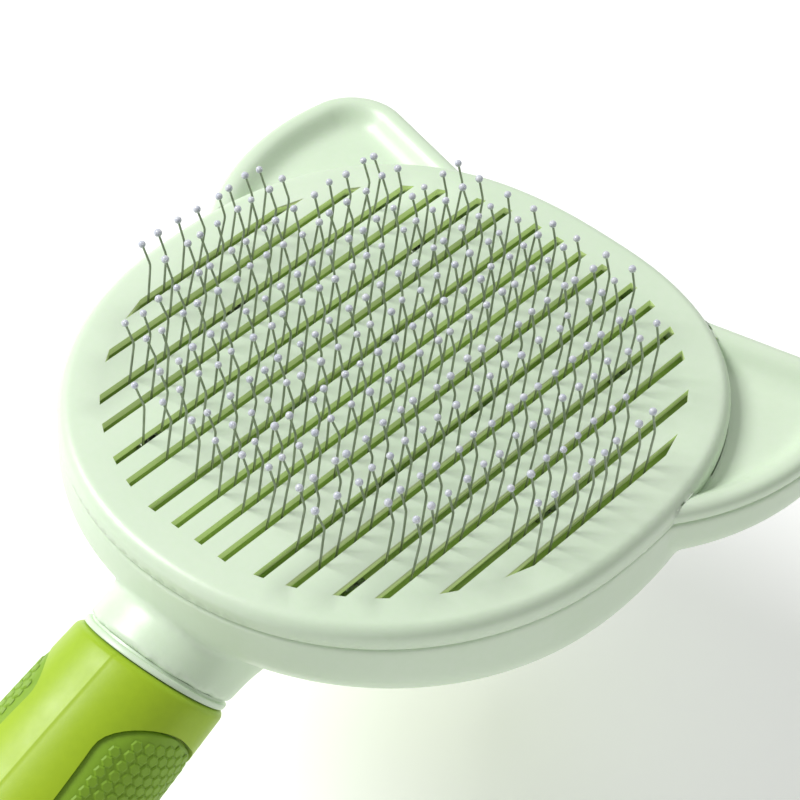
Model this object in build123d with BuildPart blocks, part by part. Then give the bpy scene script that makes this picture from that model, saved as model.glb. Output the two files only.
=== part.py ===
from build123d import *
from math import cos, pi, radians, sin
import os

# Self-cleaning slicker brush with an eared round head.
#
# Millimetres. +Z is the way the pins point, +X runs from the handle to the ears, and the
# origin is the middle of the push button's flat face. Each function below builds one
# sub-part, and the main section at the end writes one STEP file for each.

# ---- heights above the button's flat face --------------------------------------------
FACE_Z = 38.0           # top of the slotted face plate
FACE_T = 1.2            # face plate thickness at the slots
SEAM_DROP = 3.5         # face top down to the parting line
EAR_RIM_DROP = 1.1      # face top down to the ear rims
DISH_DEPTH = 2.8        # ear rim down to the dish floor
SHELL_T = 1.3           # wall of the moving shell
PLATEAU_DROP = 3.0      # face top down to the needle plate's lands
LAND_H = 3.0            # height of the lands above the needle plate's web
WEB_T = 2.0             # needle plate web under the lands
BACKING_T = 1.2         # plate that closes the needle plate's underside
CARRIER_T = 1.8         # push carrier disc
STROKE = 9.0            # push travel of button, carrier and face shell
STROKE_SPARE = 1.5      # room left above the carrier at full push

# ---- head outline --------------------------------------------------------------------
HEAD_BACK = 48.0        # head centre to the outline at the handle
HEAD_FRONT = 48.1       # head centre to the outline between the ears
HEAD_SIDE = 45.2        # head centre to the outline at each side
BACK_POWER = 2.1        # roundness of the outline towards the handle
FRONT_POWER = 2.45      # squarer outline towards the ears
OUTLINE_POINTS = 32
FACE_EDGE_R = 2.0       # rounding of the face plate's edge

# ---- ears ----------------------------------------------------------------------------
EAR_ARC_X, EAR_ARC_Y, EAR_ARC_R = 32.9, 10.1, 42.3      # long outer curve of an ear
EAR_TIP_X, EAR_TIP_Y, EAR_TIP_R = 39.5, 42.8, 9.0       # rounded tip of an ear
EAR_SIDE_ANGLE = -14.0  # direction of the ear's inner side, degrees from +X
EAR_SIDE_L = 22.0       # length of that side, ending inside the head
EAR_ROOT_ANGLE = 127.0  # where the long outer curve ends inside the head
EAR_ROOT_R = 20.0       # inner end of the ear's root from the outer curve's centre
EAR_RIM_W = 3.2         # width of the rim round the dish
EAR_RIM_R = 1.0         # rounding of the rim
DISH_R = 1.6            # rounding at the foot of the dish wall
EAR_DEPTH = 8.2         # parting line down to the back of the ear
EAR_WALL = 1.5          # housing wall round and behind the ear's hollow
EAR_BACK_R = 4.5        # rounding round the back of the ear

# ---- rear housing --------------------------------------------------------------------
WALL_T = 2.2            # housing wall
DOME_RISE = 15.956      # shallow dome of the back, from its middle up to the head's side
DOME_EDGE_R = 7.0       # rounding from the upright wall into the dome
DOME_Z = 8.0            # where the dome's middle would lie above the button's face
BUTTON_HOLE_R = 20.3
COLLAR_W = 2.2          # collar round the button's opening
COLLAR_Z = 9.8          # outer face of the collar
COLLAR_DROP = 1.0       # collar's inner end below the carrier
SEAM_GAP = 0.15         # parting line between shell and housing
SKIRT_DEPTH = 3.0       # skirt of the shell below the parting line
SKIRT_GAP = 0.5         # skirt to the housing wall

# ---- needle field --------------------------------------------------------------------
ROW_PITCH = 4.4         # between rows of one group
GROUP_PITCH = 5.7       # between the facing rows of two groups
ROW_GROUPS = (2, 2, 2, 4, 2, 2, 2)
STAPLES_PER_ROW = (4, 4, 8, 8, 10, 10, 10, 10, 10, 10, 10, 10, 8, 8, 4, 4)
ROW_LETTERS = "abcdefghijklmnop"
STAPLE_PITCH = 7.0
STAPLE_LEGS = 3.2       # between the two legs of a staple
WIRE_R = 0.15
WIRE_HOLE_GAP = 0.02    # round each leg in the needle plate
SHANK_LEAN = 8.0        # legs lean towards the ears, degrees
TIP_LEAN = 17.0         # tips lean back towards the handle, degrees
KINK_H = 6.2            # face top up to the bend
BALL_H = 11.2           # face top up to the ball centre
BALL_R = 0.52
SLOT_W = 1.45
SLOT_INSET = 6.0        # slot ends in from the head outline
SLOT_END_MAX = 41.4     # furthest a slot reaches either way along X
LAND_MARGIN = 1.1       # land beyond its outer rows
MID_LAND_MARGIN = 2.2   # the same on the middle land
PLATE_INSET = 4.6       # needle plate edge in from the head outline

# ---- push mechanism ------------------------------------------------------------------
GROUP_STEP = ROW_PITCH + GROUP_PITCH
POST_X = 10.0
POST_Y = 1.5 * ROW_PITCH + GROUP_PITCH / 2      # between the middle group of rows and the next
POST_R = 1.8
POST_GAP = 0.3          # post in the needle and backing plates
SPRING_WIRE_R = 0.3
SPRING_R = 2.5          # mean radius of a return spring
SPRING_TURNS = 6
SPRING_SEAT = 0.05      # spring end to its seat
CUP_R_IN, CUP_R_OUT = 3.1, 4.2
CUP_DEPTH = 4.0
CUP_FLOOR = 1.2
BUTTON_GAP = 0.4        # button in its opening
BUTTON_WALL = 1.6
BUTTON_FLOOR = 2.2
BUTTON_EDGE_R = 3.0
HOOK_X = 15.5           # snap hooks of the button
HOOK_T, HOOK_W = 1.2, 6.0
HOOK_BARB, HOOK_BARB_H = 0.6, 0.8
HOOK_GAP = 0.25

# ---- screws --------------------------------------------------------------------------
SCREW_R = 1.0
SCREW_HEAD_R = 1.9
SCREW_HEAD_H = 1.4
SCREW_GRIP = 7.0        # thread length in the boss or post
SCREW_GAP = 0.2         # round a screw or its head in a clearance hole
DRIVE_W, DRIVE_DEPTH = 0.5, 0.7     # cross recess in a screw head
PLATE_SCREWS = (         # between groups of rows, mirrored across Y = 0
    (29.0, POST_Y + GROUP_STEP), (-29.0, POST_Y + GROUP_STEP), (0.0, POST_Y + 2 * GROUP_STEP),
)
BOSS_R = 3.0

# ---- neck and handle -----------------------------------------------------------------
HANDLE_TILT = 24.0      # handle drops away from the face, degrees
NECK_X = -48.6          # sleeve start on the handle axis
NECK_DROP = 21.9        # face top down to the axis there
NECK_W, NECK_H = 11.7, 10.6         # half width and half height at the neck's end
END_SLANT = 14.5        # neck's end, ring and sleeve's start lean back from square, degrees
END_SPARE = 6.0         # rough length cut away beyond a slanted end
NECK_FLARE = (          # back from the neck's end, growth in half width, rise of the middle
    (5.0, 0.3, 0.1), (9.0, 1.6, 0.8), (13.0, 4.4, 2.2), (17.5, 8.0, 4.0),
)
RING_T = 1.6            # mint ring between groove and sleeve
GROOVE_T = 0.5
GROOVE_DROP = 0.7
SLEEVE_L = 84.0
SLEEVE_W = ((-6.0, 12.0), (22.0, 13.2), (44.0, 13.5), (66.0, 12.4), (SLEEVE_L, 11.0))
SLEEVE_FLAT = 0.9       # handle height over width
CORE_W, CORE_H = 8.6, 7.6   # half width and half height of the core under the sleeve
CORE_BORE_R = 5.1
TANG_L = 26.0           # neck's tang inside the core
FIT_GAP = 0.05          # round parts that are pushed or moulded together
TAIL_SHAPE = (          # distance past the sleeve, half width, half height
    (0.0, 10.9, 9.8), (5.5, 10.5, 9.3), (10.5, 8.8, 7.6), (13.6, 6.0, 5.0), (15.0, 3.0, 2.4),
)
TAIL_HOLE_R = 3.2
TAIL_HOLE_BACK = 8.0    # hang hole in from the end of the handle
PLUG_L = 8.0

# ---- grip pads -----------------------------------------------------------------------
PAD_START, PAD_END = 5.8, 66.0      # along the handle from the sleeve's start
PAD_W = 19.5            # across the handle's side
PAD_CORNER_R = 8.5
PAD_T = 1.3
PAD_GAP = 0.35          # groove round each pad

# ---- derived heights -----------------------------------------------------------------
SEAM_Z = FACE_Z - SEAM_DROP
RIM_Z = FACE_Z - EAR_RIM_DROP
DISH_Z = RIM_Z - DISH_DEPTH
LAND_Z = FACE_Z - PLATEAU_DROP
WEB_TOP_Z = LAND_Z - LAND_H
WEB_BOTTOM_Z = WEB_TOP_Z - WEB_T
BRIDGE_Z = WEB_BOTTOM_Z - WIRE_R - WIRE_HOLE_GAP
BACKING_TOP_Z = BRIDGE_Z - WIRE_R - WIRE_HOLE_GAP
BACKING_Z = BACKING_TOP_Z - BACKING_T
CARRIER_TOP_Z = BACKING_Z - STROKE_SPARE - STROKE
CARRIER_Z = CARRIER_TOP_Z - CARRIER_T
CUP_FLOOR_Z = CARRIER_TOP_Z - CUP_DEPTH
CUP_Z = CUP_FLOOR_Z - CUP_FLOOR
BUTTON_R = BUTTON_HOLE_R - BUTTON_GAP
CARRIER_R = BUTTON_R - BUTTON_WALL / 2
EAR_BACK_Z = SEAM_Z - EAR_DEPTH
POSTS = [(sx * POST_X, sy * POST_Y) for sx in (1, -1) for sy in (1, -1)]
SCREW_SPOTS = [(x, sy * y) for x, y in PLATE_SCREWS for sy in (1, -1)]


def row_positions():
    """Y of every needle row, from +Y to -Y, centred on the handle's axis."""
    ys = [0.0]
    for count in ROW_GROUPS:
        ys += [ys[-1] - ROW_PITCH * k for k in range(1, count)]
        ys.append(ys[-1] - GROUP_PITCH)
    ys = ys[:-1]
    middle = (ys[0] + ys[-1]) / 2
    return [y - middle for y in ys]


ROW_Y = row_positions()


def signed_power(value, power):
    return (1 if value >= 0 else -1) * abs(value) ** power


def head_points(inset=0.0, scale=1.0):
    """Points round the head outline, drawn in by inset and then scaled."""
    points = []
    for k in range(OUTLINE_POINTS):
        a = 2 * pi * k / OUTLINE_POINTS
        back = cos(a) < 0
        power = 2 / (BACK_POWER if back else FRONT_POWER)
        half_x = (HEAD_BACK if back else HEAD_FRONT) - inset
        x = half_x * signed_power(cos(a), power)
        y = (HEAD_SIDE - inset) * signed_power(sin(a), power)
        points.append((x * scale, y * scale))
    return points


def head_half_length(y, inset):
    """How far the drawn-in outline reaches along -X and +X at this Y."""
    side = HEAD_SIDE - inset
    t = min(abs(y) / side, 1.0)
    back = (HEAD_BACK - inset) * (1 - t ** BACK_POWER) ** (1 / BACK_POWER)
    front = (HEAD_FRONT - inset) * (1 - t ** FRONT_POWER) ** (1 / FRONT_POWER)
    return min(back, SLOT_END_MAX), min(front, SLOT_END_MAX)


def head_prism(inset, z_low, z_high, top_r=0.0):
    """Upright solid with the head's outline, its upper edge rounded if asked."""
    with BuildPart() as prism:
        with BuildSketch(Plane.XY.offset(z_low)):
            with BuildLine():
                Spline(*head_points(inset), periodic=True)
            make_face()
        extrude(amount=z_high - z_low)
        if top_r:
            fillet(prism.edges().group_by(Axis.Z)[-1], radius=top_r)
    return prism.part


def ear_face(inset, side):
    """Closed outline of one ear, drawn in by inset; its root lies inside the head."""
    tip = Vector(EAR_TIP_X, EAR_TIP_Y)
    arc_mid = Vector(EAR_ARC_X, EAR_ARC_Y)
    tip_r = EAR_TIP_R - inset
    arc_r = EAR_ARC_R - inset
    turn = radians(EAR_SIDE_ANGLE)
    root_turn = radians(EAR_ROOT_ANGLE)
    towards = (tip - arc_mid).normalized()
    rootwards = Vector(cos(root_turn), sin(root_turn))
    halfway = (towards + rootwards).normalized()
    join = tip + towards * tip_r
    corner = tip + Vector(cos(radians(40)), sin(radians(40))) * tip_r
    side_top = tip + Vector(cos(turn), sin(turn)) * tip_r
    side_low = side_top + Vector(sin(turn), -cos(turn)) * EAR_SIDE_L
    root = arc_mid + rootwards * arc_r
    root_low = arc_mid + rootwards * EAR_ROOT_R
    with BuildSketch() as ear:
        with BuildLine():
            ThreePointArc(root, arc_mid + halfway * arc_r, join)
            ThreePointArc(join, corner, side_top)
            Polyline(side_top, side_low, root_low, root)
        make_face()
    face = ear.sketch
    return face if side > 0 else face.mirror(Plane.XZ)


def ear_prism(inset, z_low, z_high, side, top_r=0.0, foot_r=0.0):
    """Upright solid with an ear's outline, its upper or lower edge rounded if asked."""
    with BuildPart() as prism:
        with BuildSketch(Plane.XY.offset(z_low)):
            add(ear_face(inset, side))
        extrude(amount=z_high - z_low)
        if top_r:
            fillet(prism.edges().group_by(Axis.Z)[-1], radius=top_r)
        if foot_r:
            fillet(prism.edges().group_by(Axis.Z)[0], radius=foot_r)
    return prism.part


def dome_solid(inset):
    """The head below the parting line: upright wall rounded into a shallow dome."""
    dome_r = (HEAD_SIDE ** 2 + DOME_RISE ** 2) / (2 * DOME_RISE)
    with BuildPart() as dome:
        add(head_prism(inset, DOME_Z, SEAM_Z))
        with Locations((0, 0, DOME_Z + dome_r)):
            Sphere(dome_r - inset, mode=Mode.INTERSECT)
        rim = [e for e in dome.edges() if e.bounding_box().max.Z < SEAM_Z - 1.0]
        fillet(rim, radius=DOME_EDGE_R - inset)
    return dome.part


def screw_bosses():
    """Columns under the needle plate, their feet cut off inside the dome's wall."""
    dome = dome_solid(WALL_T / 2)
    with BuildPart() as bosses:
        with Locations(*[(x, y, (DOME_Z + BACKING_Z) / 2) for x, y in SCREW_SPOTS]):
            Cylinder(BOSS_R, BACKING_Z - DOME_Z)
        add(dome, mode=Mode.INTERSECT)
    return bosses.part


def handle_plane(distance):
    """Plane across the handle, distance along it from the sleeve's start."""
    tilt = radians(HANDLE_TILT)
    along = Vector(-cos(tilt), 0, -sin(tilt))
    start = Vector(NECK_X, 0, FACE_Z - NECK_DROP)
    return Plane(origin=start + along * distance, x_dir=(0, 1, 0), z_dir=along)


def slanted_plane(distance):
    """Plane that crosses the handle's axis at distance, leaning back as the neck's end does."""
    tilt = radians(HANDLE_TILT + END_SLANT)
    return Plane(
        origin=handle_plane(distance).origin,
        x_dir=(0, 1, 0),
        z_dir=(-cos(tilt), 0, -sin(tilt)),
    )


def slanted_rod(half_w, half_h, start, length):
    """Elliptical rod along the handle, cut off by slanted planes at both ends."""
    with BuildPart() as rod:
        with BuildSketch(handle_plane(start - END_SPARE)):
            Ellipse(half_w, half_h)
        extrude(amount=length + 2 * END_SPARE)
        split(bisect_by=slanted_plane(start), keep=Keep.TOP)
        split(bisect_by=slanted_plane(start + length), keep=Keep.BOTTOM)
    return rod.part


def handle_loft(sections):
    """Solid through ellipses given as distance along the handle, half width, half height."""
    with BuildPart() as body:
        for distance, half_w, half_h in sections:
            with BuildSketch(handle_plane(distance)):
                Ellipse(half_w, half_h)
        loft()
    return body.part


def neck_loft(neck_end):
    """Neck from inside the head to its end; its underside runs straight, its top flares."""
    with BuildPart() as body:
        for back, grow, rise in NECK_FLARE[::-1] + ((0.0, 0.0, 0.0), (-END_SPARE, 0.0, 0.0)):
            with BuildSketch(handle_plane(neck_end - back)):
                with Locations((0, -rise)):
                    Ellipse(NECK_W + grow, NECK_H + rise)
        loft()
        split(bisect_by=slanted_plane(neck_end), keep=Keep.BOTTOM)
    return body.part


def handle_cylinder(radius, start, length):
    with BuildPart() as body:
        with BuildSketch(handle_plane(start)):
            Circle(radius)
        extrude(amount=length)
    return body.part


def sleeve_sections(shrink):
    return [(s, w - shrink, w * SLEEVE_FLAT - shrink) for s, w in SLEEVE_W]


def screw_solid(x, y, seat_z, length, up=True):
    """Pan-head screw whose head bears on seat_z; its shank runs up, or down if not up."""
    way = 1 if up else -1
    head_mid = seat_z - way * SCREW_HEAD_H / 2
    top_z = seat_z - way * SCREW_HEAD_H
    with BuildPart() as screw:
        with Locations((x, y, head_mid)):
            Cylinder(SCREW_HEAD_R, SCREW_HEAD_H)
        fillet(screw.edges().group_by(Axis.Z)[0 if up else -1], radius=SCREW_HEAD_H * 0.4)
        with Locations((x, y, seat_z + way * length / 2)):
            Cylinder(SCREW_R, length)
        with Locations((x, y, top_z + way * DRIVE_DEPTH / 2)):
            Box(SCREW_HEAD_R * 1.2, DRIVE_W, DRIVE_DEPTH, mode=Mode.SUBTRACT)
            Box(DRIVE_W, SCREW_HEAD_R * 1.2, DRIVE_DEPTH, mode=Mode.SUBTRACT)
    return screw.part


def face_slots():
    """One cutter per needle row, its ends cut along the head's curve."""
    with BuildPart() as slots:
        for y in ROW_Y:
            near, far = y - SLOT_W / 2, y + SLOT_W / 2
            back_near, front_near = head_half_length(near, SLOT_INSET)
            back_far, front_far = head_half_length(far, SLOT_INSET)
            with BuildSketch(Plane.XY.offset(FACE_Z - PLATEAU_DROP)):
                with BuildLine():
                    Polyline(
                        (-back_near, near),
                        (front_near, near),
                        (front_far, far),
                        (-back_far, far),
                        close=True,
                    )
                make_face()
            extrude(amount=PLATEAU_DROP + 1.0)
    return slots.part


def row_feet(row):
    """X of the middle of every staple in a row."""
    count = STAPLES_PER_ROW[row]
    return [(k - (count - 1) / 2) * STAPLE_PITCH for k in range(count)]


def leg_spots():
    """Plan position of every wire leg."""
    spots = []
    for row, y in enumerate(ROW_Y):
        for x in row_feet(row):
            spots += [(x - STAPLE_LEGS / 2, y), (x + STAPLE_LEGS / 2, y)]
    return spots


def groove_bands():
    """Low and high Y of every groove between two lands of the needle plate."""
    bands = []
    row = 0
    for k, count in enumerate(ROW_GROUPS[:-1]):
        row += count
        above, below = ROW_Y[row - 1], ROW_Y[row]
        middle = len(ROW_GROUPS) // 2
        margin_above = MID_LAND_MARGIN if k == middle else LAND_MARGIN
        margin_below = MID_LAND_MARGIN if k + 1 == middle else LAND_MARGIN
        bands.append((below + margin_below, above - margin_above))
    return bands


def pad_prism(grow):
    """Bar through both sides of the handle with the grip pad's outline."""
    middle = handle_plane((PAD_START + PAD_END) / 2)
    side_plane = Plane(origin=middle.origin, x_dir=middle.z_dir, z_dir=(0, 1, 0))
    with BuildPart() as bar:
        with BuildSketch(side_plane):
            RectangleRounded(PAD_END - PAD_START + 2 * grow, PAD_W + 2 * grow, PAD_CORNER_R + grow)
        extrude(amount=2 * HEAD_SIDE, both=True)
    return bar.part


def pad_solid(depth, grow, side):
    """Piece of the sleeve's skin, depth thick, with the grip pad's outline grown by grow."""
    outer = handle_loft(sleeve_sections(0.0))
    inner = handle_loft(sleeve_sections(depth))
    outline = pad_prism(grow)
    reach = 2 * HEAD_BACK
    with BuildPart() as skin:
        add(outer)
        add(inner, mode=Mode.SUBTRACT)
        add(outline, mode=Mode.INTERSECT)
        with Locations(handle_plane(SLEEVE_L / 2).origin + Vector(0, -side * reach, 0)):
            Box(2 * reach, 2 * reach, 2 * reach, mode=Mode.SUBTRACT)
    return skin.part


# ---- face shell: slotted plate, skirt, upper halves of the ears and four guide posts -------
def build_face_shell():
    shell_z = SEAM_Z + SEAM_GAP
    skirt_z = SEAM_Z - SKIRT_DEPTH
    under_z = FACE_Z - FACE_T
    post_top = FACE_Z - FACE_T / 2
    skirt_inset = WALL_T + SKIRT_GAP
    dish_inset = EAR_RIM_W - SHELL_T
    dish_under_z = DISH_Z - SHELL_T
    rims = [ear_prism(0.0, shell_z, RIM_Z, side, top_r=EAR_RIM_R) for side in (1, -1)]
    pans = [ear_prism(dish_inset, dish_under_z, RIM_Z - EAR_RIM_R, side) for side in (1, -1)]
    dishes = [ear_prism(EAR_RIM_W, DISH_Z, FACE_Z, side, foot_r=DISH_R) for side in (1, -1)]
    skirt = head_prism(skirt_inset, skirt_z, under_z)
    cap = head_prism(0.0, shell_z, FACE_Z, top_r=FACE_EDGE_R)
    hollow = head_prism(skirt_inset + SHELL_T, skirt_z, under_z)
    slots = face_slots()
    with BuildPart() as shell:
        add(rims)
        add(pans)
        add(dishes, mode=Mode.SUBTRACT)
        add(skirt)
        add(cap)
        add(hollow, mode=Mode.SUBTRACT)
        add(slots, mode=Mode.SUBTRACT)
        with Locations(*[(x, y, (CUP_FLOOR_Z + post_top) / 2) for x, y in POSTS]):
            Cylinder(POST_R, post_top - CUP_FLOOR_Z)
        with Locations(*[(x, y, CUP_FLOOR_Z + SCREW_GRIP / 2) for x, y in POSTS]):
            Cylinder(SCREW_R + FIT_GAP, SCREW_GRIP, mode=Mode.SUBTRACT)
    return shell


# ---- rear housing: dome, lower halves of the ears, neck with its tang, screw bosses --------
def build_rear_housing():
    neck_end = -(RING_T + GROOVE_T)
    neck = neck_loft(neck_end)
    tang = handle_cylinder(CORE_BORE_R - FIT_GAP, neck_end - END_SPARE, TANG_L + END_SPARE)
    collar_top = CARRIER_Z - COLLAR_DROP
    pocket_z = EAR_BACK_Z + EAR_WALL
    pocket_r = EAR_BACK_R - EAR_WALL
    ears = [ear_prism(0.0, EAR_BACK_Z, SEAM_Z, side, foot_r=EAR_BACK_R) for side in (1, -1)]
    pockets = [ear_prism(EAR_WALL, pocket_z, SEAM_Z, side, foot_r=pocket_r) for side in (1, -1)]
    dome = dome_solid(0.0)
    hollow = dome_solid(WALL_T)
    bosses = screw_bosses()
    with BuildPart() as housing:
        add(dome)
        add(ears)
        add(neck)
        with Locations((0, 0, SEAM_Z + HEAD_BACK)):
            Box(3 * HEAD_BACK, 3 * HEAD_BACK, 2 * HEAD_BACK, mode=Mode.SUBTRACT)
        add(hollow, mode=Mode.SUBTRACT)
        add(pockets, mode=Mode.SUBTRACT)
        with Locations((0, 0, (COLLAR_Z + collar_top) / 2)):
            Cylinder(BUTTON_HOLE_R + COLLAR_W, collar_top - COLLAR_Z)
        with Locations((0, 0, collar_top / 2)):
            Cylinder(BUTTON_HOLE_R, collar_top + 2.0, mode=Mode.SUBTRACT)
        add(bosses)
        with Locations(*[(x, y, BACKING_Z - SCREW_GRIP / 4) for x, y in SCREW_SPOTS]):
            Cylinder(SCREW_R + FIT_GAP, SCREW_GRIP / 2, mode=Mode.SUBTRACT)
        add(tang)
    return housing


# ---- needle plate: web with seven raised lands, drilled for every wire leg -----------------
def build_needle_plate():
    mid_z = (WEB_BOTTOM_Z + LAND_Z) / 2
    tall = LAND_Z - WEB_BOTTOM_Z
    blank = head_prism(PLATE_INSET, WEB_BOTTOM_Z, LAND_Z)
    with BuildPart() as plate:
        add(blank)
        for low, high in groove_bands():
            with Locations((0, (low + high) / 2, (WEB_TOP_Z + LAND_Z) / 2)):
                Box(3 * HEAD_BACK, high - low, LAND_H, mode=Mode.SUBTRACT)
        with Locations(*[(x, y, mid_z) for x, y in POSTS]):
            Cylinder(POST_R + POST_GAP, tall, mode=Mode.SUBTRACT)
        with Locations(*[(x, y, mid_z) for x, y in SCREW_SPOTS]):
            Cylinder(SCREW_R + SCREW_GAP, tall, mode=Mode.SUBTRACT)
        with Locations(*[(x, y, (WEB_TOP_Z + LAND_Z) / 2) for x, y in SCREW_SPOTS]):
            Cylinder(SCREW_HEAD_R + SCREW_GAP, LAND_H, mode=Mode.SUBTRACT)
        with Locations(*[(x, y, mid_z) for x, y in leg_spots()]):
            Cylinder(WIRE_R + WIRE_HOLE_GAP, tall, mode=Mode.SUBTRACT)
    return plate


# ---- backing plate: keeps the staples' bridges up against the needle plate -----------------
def build_backing_plate():
    mid_z = BACKING_Z + BACKING_T / 2
    blank = head_prism(PLATE_INSET + SHELL_T, BACKING_Z, BACKING_TOP_Z)
    with BuildPart() as backing:
        add(blank)
        with Locations(*[(x, y, mid_z) for x, y in POSTS]):
            Cylinder(POST_R + POST_GAP, BACKING_T, mode=Mode.SUBTRACT)
        with Locations(*[(x, y, mid_z) for x, y in SCREW_SPOTS]):
            Cylinder(SCREW_R + SCREW_GAP, BACKING_T, mode=Mode.SUBTRACT)
    return backing


# ---- one U-shaped pin staple: bridge, two upright legs, leaning shanks, bent-back tips -----
def staple_solid():
    lean, tip = radians(SHANK_LEAN), radians(TIP_LEAN)
    kink_z, tip_z = FACE_Z + KINK_H, FACE_Z + BALL_H
    kink_dx = (kink_z - LAND_Z) * sin(lean) / cos(lean)
    tip_dx = kink_dx - (tip_z - kink_z) * sin(tip) / cos(tip)
    half = STAPLE_LEGS / 2
    left = [(-half + tip_dx, tip_z), (-half + kink_dx, kink_z), (-half, LAND_Z), (-half, BRIDGE_Z)]
    right = [(half, BRIDGE_Z), (half, LAND_Z), (half + kink_dx, kink_z), (half + tip_dx, tip_z)]
    radii = [1.5, 1.0, 0.2, 0.2, 1.0, 1.5]
    with BuildPart() as staple:
        with BuildLine(Plane.XZ) as path:
            FilletPolyline(*(left + right), radius=radii)
        start = Plane(origin=path.line @ 0, z_dir=path.line % 0)
        with BuildSketch(start):
            Circle(WIRE_R)
        sweep(path=path.line)
    return staple.part, tip_dx


def build_pin_row(row, staple):
    with BuildPart() as pins:
        with Locations(*[(x, ROW_Y[row], 0) for x in row_feet(row)]):
            add(staple)
    return pins


# ---- ball tips: one bead on every wire end, bored for the wire -----------------------------
def build_ball_tips(tip_dx):
    bead_z = FACE_Z + BALL_H
    with BuildPart() as bead:
        Sphere(BALL_R)
        with Locations(Location((0, 0, 0), (0, -TIP_LEAN, 0))):
            with Locations((0, 0, -BALL_R)):
                Cylinder(WIRE_R + WIRE_HOLE_GAP, 2 * BALL_R + 0.05, mode=Mode.SUBTRACT)
    with BuildPart() as tips:
        with Locations(*[(x + tip_dx, y, bead_z) for x, y in leg_spots()]):
            add(bead.part)
    return tips


# ---- plate screws: hold the needle and backing plates down on the housing's bosses ---------
def build_plate_screws():
    length = WEB_TOP_Z - BACKING_Z + SCREW_GRIP / 2 - 0.5
    each = [screw_solid(x, y, WEB_TOP_Z, length, up=False) for x, y in SCREW_SPOTS]
    with BuildPart() as screws:
        add(each)
    return screws


# ---- push carrier: disc with four spring cups that seat the shell's posts ------------------
def build_push_carrier():
    window = HOOK_T + 2 * HOOK_GAP
    with BuildPart() as carrier:
        with Locations((0, 0, CARRIER_Z + CARRIER_T / 2)):
            Cylinder(CARRIER_R, CARRIER_T)
        with Locations(*[(x, y, (CUP_Z + CARRIER_TOP_Z) / 2) for x, y in POSTS]):
            Cylinder(CUP_R_OUT, CARRIER_TOP_Z - CUP_Z)
        with Locations(*[(x, y, (CUP_FLOOR_Z + CARRIER_TOP_Z) / 2) for x, y in POSTS]):
            Cylinder(CUP_R_IN, CARRIER_TOP_Z - CUP_FLOOR_Z, mode=Mode.SUBTRACT)
        with Locations(*[(x, y, CUP_Z + CUP_FLOOR / 2) for x, y in POSTS]):
            Cylinder(SCREW_R + SCREW_GAP, CUP_FLOOR, mode=Mode.SUBTRACT)
        with Locations(*[(sx * HOOK_X, 0, CARRIER_Z + CARRIER_T / 2) for sx in (1, -1)]):
            Box(window, HOOK_W + 2 * HOOK_GAP, CARRIER_T, mode=Mode.SUBTRACT)
    return carrier


# ---- back button: flat-faced cap, snapped to the carrier by two hooks ----------------------
def build_back_button():
    hook_top = CARRIER_TOP_Z + FIT_GAP
    barb_reach = HOOK_BARB + HOOK_GAP
    with BuildPart() as button:
        with Locations((0, 0, (CARRIER_Z - FIT_GAP) / 2)):
            Cylinder(BUTTON_R, CARRIER_Z - FIT_GAP)
        fillet(button.edges().group_by(Axis.Z)[0], radius=BUTTON_EDGE_R)
        with Locations((0, 0, (BUTTON_FLOOR + CARRIER_Z) / 2)):
            Cylinder(BUTTON_R - BUTTON_WALL, CARRIER_Z - BUTTON_FLOOR, mode=Mode.SUBTRACT)
        for sx in (1, -1):
            with Locations((sx * HOOK_X, 0, (BUTTON_FLOOR + hook_top + HOOK_BARB_H) / 2)):
                Box(HOOK_T, HOOK_W, hook_top + HOOK_BARB_H - BUTTON_FLOOR + 0.2)
            with Locations((sx * (HOOK_X + barb_reach / 2), 0, hook_top + HOOK_BARB_H / 2)):
                Box(HOOK_T + barb_reach, HOOK_W, HOOK_BARB_H)
    return button


# ---- shell screws: up through the cup floors into the posts --------------------------------
def build_shell_screws():
    each = [screw_solid(x, y, CUP_Z, CUP_FLOOR + SCREW_GRIP - 0.5) for x, y in POSTS]
    with BuildPart() as screws:
        add(each)
    return screws


# ---- return springs: one coil round each post, cup floor to backing plate ------------------
def build_return_springs():
    low = CUP_FLOOR_Z + SPRING_WIRE_R + SPRING_SEAT
    high = BACKING_Z - SPRING_WIRE_R - SPRING_SEAT
    tall = high - low
    with BuildPart() as coil:
        with BuildLine() as path:
            Helix(pitch=tall / SPRING_TURNS, height=tall, radius=SPRING_R)
        with BuildSketch(Plane(origin=path.line @ 0, z_dir=path.line % 0)):
            Circle(SPRING_WIRE_R)
        sweep(path=path.line, is_frenet=True)
    with BuildPart() as springs:
        with Locations(*[(x, y, low) for x, y in POSTS]):
            add(coil.part)
    return springs


# ---- handle core: ring beside the neck's groove and the tube under the sleeve --------------
def build_handle_core():
    neck_end = -(RING_T + GROOVE_T)
    groove = slanted_rod(NECK_W - GROOVE_DROP, NECK_H - GROOVE_DROP, neck_end, GROOVE_T)
    ring = slanted_rod(NECK_W, NECK_H, -RING_T, RING_T)
    bore = handle_cylinder(CORE_BORE_R, neck_end - END_SPARE, SLEEVE_L - neck_end + END_SPARE)
    with BuildPart() as core:
        with BuildSketch(handle_plane(-END_SPARE)):
            Ellipse(CORE_W, CORE_H)
        extrude(amount=SLEEVE_L + END_SPARE)
        split(bisect_by=slanted_plane(0.0), keep=Keep.TOP)
        add(ring)
        add(groove)
        add(bore, mode=Mode.SUBTRACT)
    return core


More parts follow.
